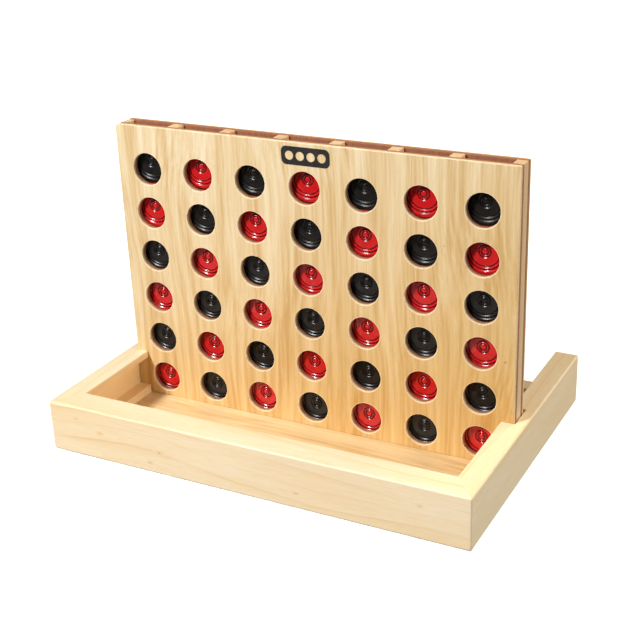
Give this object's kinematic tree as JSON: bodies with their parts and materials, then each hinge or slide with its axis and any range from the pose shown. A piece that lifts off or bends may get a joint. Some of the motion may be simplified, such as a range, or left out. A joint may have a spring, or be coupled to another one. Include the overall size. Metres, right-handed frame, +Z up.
{
  "type": "four in a row game",
  "caption": "Four-in-a-row game: an upright perforated plywood board with open-topped columns, stacked red and black discs, and a low pine tray that holds it.",
  "frame": {"origin": "the middle of the tray's underside, on the surface that the tray stands on", "axes": "+Z up; +X along the board and the tray's long side, to the right seen from the front; -Y towards the closed front rail, +Y towards the low back bar"},
  "size_m": [0.4982, 0.342, 0.3362],
  "materials": {
    "pine": "sanded, clear satin lacquer",
    "face_plywood": "birch-faced plywood, clear satin lacquer",
    "floor_plywood": "thin plywood, clear satin lacquer",
    "strip_wood": "sawn softwood, unfinished inside",
    "red_plastic": "moulded, glossy",
    "black_plastic": "moulded, glossy"
  },
  "bodies": {
    "tray": {"front_rail": "pine", "left_rail": "pine", "right_rail": "pine", "back_bar": "pine", "tray_floor": "floor_plywood"},
    "board": {"front_panel": "face_plywood", "back_panel": "face_plywood", "left_edge_strip": "strip_wood", "right_edge_strip": "strip_wood", "divider_1": "strip_wood", "divider_2": "strip_wood", "divider_3": "strip_wood", "divider_4": "strip_wood", "divider_5": "strip_wood", "divider_6": "strip_wood"},
    "disc_c1_r1": {"disc_c1_r1": "red_plastic"},
    "disc_c1_r2": {"disc_c1_r2": "black_plastic"},
    "disc_c1_r3": {"disc_c1_r3": "red_plastic"},
    "disc_c1_r4": {"disc_c1_r4": "black_plastic"},
    "disc_c1_r5": {"disc_c1_r5": "red_plastic"},
    "disc_c1_r6": {"disc_c1_r6": "black_plastic"},
    "disc_c2_r1": {"disc_c2_r1": "black_plastic"},
    "disc_c2_r2": {"disc_c2_r2": "red_plastic"},
    "disc_c2_r3": {"disc_c2_r3": "black_plastic"},
    "disc_c2_r4": {"disc_c2_r4": "red_plastic"},
    "disc_c2_r5": {"disc_c2_r5": "black_plastic"},
    "disc_c2_r6": {"disc_c2_r6": "red_plastic"},
    "disc_c3_r1": {"disc_c3_r1": "red_plastic"},
    "disc_c3_r2": {"disc_c3_r2": "black_plastic"},
    "disc_c3_r3": {"disc_c3_r3": "red_plastic"},
    "disc_c3_r4": {"disc_c3_r4": "black_plastic"},
    "disc_c3_r5": {"disc_c3_r5": "red_plastic"},
    "disc_c3_r6": {"disc_c3_r6": "black_plastic"},
    "disc_c4_r1": {"disc_c4_r1": "black_plastic"},
    "disc_c4_r2": {"disc_c4_r2": "red_plastic"},
    "disc_c4_r3": {"disc_c4_r3": "black_plastic"},
    "disc_c4_r4": {"disc_c4_r4": "red_plastic"},
    "disc_c4_r5": {"disc_c4_r5": "black_plastic"},
    "disc_c4_r6": {"disc_c4_r6": "red_plastic"},
    "disc_c5_r1": {"disc_c5_r1": "red_plastic"},
    "disc_c5_r2": {"disc_c5_r2": "black_plastic"},
    "disc_c5_r3": {"disc_c5_r3": "red_plastic"},
    "disc_c5_r4": {"disc_c5_r4": "black_plastic"},
    "disc_c5_r5": {"disc_c5_r5": "red_plastic"},
    "disc_c5_r6": {"disc_c5_r6": "black_plastic"},
    "disc_c6_r1": {"disc_c6_r1": "black_plastic"},
    "disc_c6_r2": {"disc_c6_r2": "red_plastic"},
    "disc_c6_r3": {"disc_c6_r3": "black_plastic"},
    "disc_c6_r4": {"disc_c6_r4": "red_plastic"},
    "disc_c6_r5": {"disc_c6_r5": "black_plastic"},
    "disc_c6_r6": {"disc_c6_r6": "red_plastic"},
    "disc_c7_r1": {"disc_c7_r1": "red_plastic"},
    "disc_c7_r2": {"disc_c7_r2": "black_plastic"},
    "disc_c7_r3": {"disc_c7_r3": "red_plastic"},
    "disc_c7_r4": {"disc_c7_r4": "black_plastic"},
    "disc_c7_r5": {"disc_c7_r5": "red_plastic"},
    "disc_c7_r6": {"disc_c7_r6": "black_plastic"}
  },
  "joints": [
    {"name": "board_lift", "type": "slide", "parent": "tray", "child": "board", "axis": [0, 0, 1], "range_m": [0, 0.32]},
    {"name": "lift_c1_r1", "type": "slide", "parent": "tray", "child": "disc_c1_r1", "axis": [0, 0, 1], "range_m": [0, 0.07]},
    {"name": "lift_c1_r2", "type": "slide", "parent": "disc_c1_r1", "child": "disc_c1_r2", "axis": [0, 0, 1], "range_m": [0, 0.07]},
    {"name": "lift_c1_r3", "type": "slide", "parent": "disc_c1_r2", "child": "disc_c1_r3", "axis": [0, 0, 1], "range_m": [0, 0.07]},
    {"name": "lift_c1_r4", "type": "slide", "parent": "disc_c1_r3", "child": "disc_c1_r4", "axis": [0, 0, 1], "range_m": [0, 0.07]},
    {"name": "lift_c1_r5", "type": "slide", "parent": "disc_c1_r4", "child": "disc_c1_r5", "axis": [0, 0, 1], "range_m": [0, 0.07]},
    {"name": "lift_c1_r6", "type": "slide", "parent": "disc_c1_r5", "child": "disc_c1_r6", "axis": [0, 0, 1], "range_m": [0, 0.07]},
    {"name": "lift_c2_r1", "type": "slide", "parent": "tray", "child": "disc_c2_r1", "axis": [0, 0, 1], "range_m": [0, 0.07]},
    {"name": "lift_c2_r2", "type": "slide", "parent": "disc_c2_r1", "child": "disc_c2_r2", "axis": [0, 0, 1], "range_m": [0, 0.07]},
    {"name": "lift_c2_r3", "type": "slide", "parent": "disc_c2_r2", "child": "disc_c2_r3", "axis": [0, 0, 1], "range_m": [0, 0.07]},
    {"name": "lift_c2_r4", "type": "slide", "parent": "disc_c2_r3", "child": "disc_c2_r4", "axis": [0, 0, 1], "range_m": [0, 0.07]},
    {"name": "lift_c2_r5", "type": "slide", "parent": "disc_c2_r4", "child": "disc_c2_r5", "axis": [0, 0, 1], "range_m": [0, 0.07]},
    {"name": "lift_c2_r6", "type": "slide", "parent": "disc_c2_r5", "child": "disc_c2_r6", "axis": [0, 0, 1], "range_m": [0, 0.07]},
    {"name": "lift_c3_r1", "type": "slide", "parent": "tray", "child": "disc_c3_r1", "axis": [0, 0, 1], "range_m": [0, 0.07]},
    {"name": "lift_c3_r2", "type": "slide", "parent": "disc_c3_r1", "child": "disc_c3_r2", "axis": [0, 0, 1], "range_m": [0, 0.07]},
    {"name": "lift_c3_r3", "type": "slide", "parent": "disc_c3_r2", "child": "disc_c3_r3", "axis": [0, 0, 1], "range_m": [0, 0.07]},
    {"name": "lift_c3_r4", "type": "slide", "parent": "disc_c3_r3", "child": "disc_c3_r4", "axis": [0, 0, 1], "range_m": [0, 0.07]},
    {"name": "lift_c3_r5", "type": "slide", "parent": "disc_c3_r4", "child": "disc_c3_r5", "axis": [0, 0, 1], "range_m": [0, 0.07]},
    {"name": "lift_c3_r6", "type": "slide", "parent": "disc_c3_r5", "child": "disc_c3_r6", "axis": [0, 0, 1], "range_m": [0, 0.07]},
    {"name": "lift_c4_r1", "type": "slide", "parent": "tray", "child": "disc_c4_r1", "axis": [0, 0, 1], "range_m": [0, 0.07]},
    {"name": "lift_c4_r2", "type": "slide", "parent": "disc_c4_r1", "child": "disc_c4_r2", "axis": [0, 0, 1], "range_m": [0, 0.07]},
    {"name": "lift_c4_r3", "type": "slide", "parent": "disc_c4_r2", "child": "disc_c4_r3", "axis": [0, 0, 1], "range_m": [0, 0.07]},
    {"name": "lift_c4_r4", "type": "slide", "parent": "disc_c4_r3", "child": "disc_c4_r4", "axis": [0, 0, 1], "range_m": [0, 0.07]},
    {"name": "lift_c4_r5", "type": "slide", "parent": "disc_c4_r4", "child": "disc_c4_r5", "axis": [0, 0, 1], "range_m": [0, 0.07]},
    {"name": "lift_c4_r6", "type": "slide", "parent": "disc_c4_r5", "child": "disc_c4_r6", "axis": [0, 0, 1], "range_m": [0, 0.07]},
    {"name": "lift_c5_r1", "type": "slide", "parent": "tray", "child": "disc_c5_r1", "axis": [0, 0, 1], "range_m": [0, 0.07]},
    {"name": "lift_c5_r2", "type": "slide", "parent": "disc_c5_r1", "child": "disc_c5_r2", "axis": [0, 0, 1], "range_m": [0, 0.07]},
    {"name": "lift_c5_r3", "type": "slide", "parent": "disc_c5_r2", "child": "disc_c5_r3", "axis": [0, 0, 1], "range_m": [0, 0.07]},
    {"name": "lift_c5_r4", "type": "slide", "parent": "disc_c5_r3", "child": "disc_c5_r4", "axis": [0, 0, 1], "range_m": [0, 0.07]},
    {"name": "lift_c5_r5", "type": "slide", "parent": "disc_c5_r4", "child": "disc_c5_r5", "axis": [0, 0, 1], "range_m": [0, 0.07]},
    {"name": "lift_c5_r6", "type": "slide", "parent": "disc_c5_r5", "child": "disc_c5_r6", "axis": [0, 0, 1], "range_m": [0, 0.07]},
    {"name": "lift_c6_r1", "type": "slide", "parent": "tray", "child": "disc_c6_r1", "axis": [0, 0, 1], "range_m": [0, 0.07]},
    {"name": "lift_c6_r2", "type": "slide", "parent": "disc_c6_r1", "child": "disc_c6_r2", "axis": [0, 0, 1], "range_m": [0, 0.07]},
    {"name": "lift_c6_r3", "type": "slide", "parent": "disc_c6_r2", "child": "disc_c6_r3", "axis": [0, 0, 1], "range_m": [0, 0.07]},
    {"name": "lift_c6_r4", "type": "slide", "parent": "disc_c6_r3", "child": "disc_c6_r4", "axis": [0, 0, 1], "range_m": [0, 0.07]},
    {"name": "lift_c6_r5", "type": "slide", "parent": "disc_c6_r4", "child": "disc_c6_r5", "axis": [0, 0, 1], "range_m": [0, 0.07]},
    {"name": "lift_c6_r6", "type": "slide", "parent": "disc_c6_r5", "child": "disc_c6_r6", "axis": [0, 0, 1], "range_m": [0, 0.07]},
    {"name": "lift_c7_r1", "type": "slide", "parent": "tray", "child": "disc_c7_r1", "axis": [0, 0, 1], "range_m": [0, 0.07]},
    {"name": "lift_c7_r2", "type": "slide", "parent": "disc_c7_r1", "child": "disc_c7_r2", "axis": [0, 0, 1], "range_m": [0, 0.07]},
    {"name": "lift_c7_r3", "type": "slide", "parent": "disc_c7_r2", "child": "disc_c7_r3", "axis": [0, 0, 1], "range_m": [0, 0.07]},
    {"name": "lift_c7_r4", "type": "slide", "parent": "disc_c7_r3", "child": "disc_c7_r4", "axis": [0, 0, 1], "range_m": [0, 0.07]},
    {"name": "lift_c7_r5", "type": "slide", "parent": "disc_c7_r4", "child": "disc_c7_r5", "axis": [0, 0, 1], "range_m": [0, 0.07]},
    {"name": "lift_c7_r6", "type": "slide", "parent": "disc_c7_r5", "child": "disc_c7_r6", "axis": [0, 0, 1], "range_m": [0, 0.07]}
  ]
}
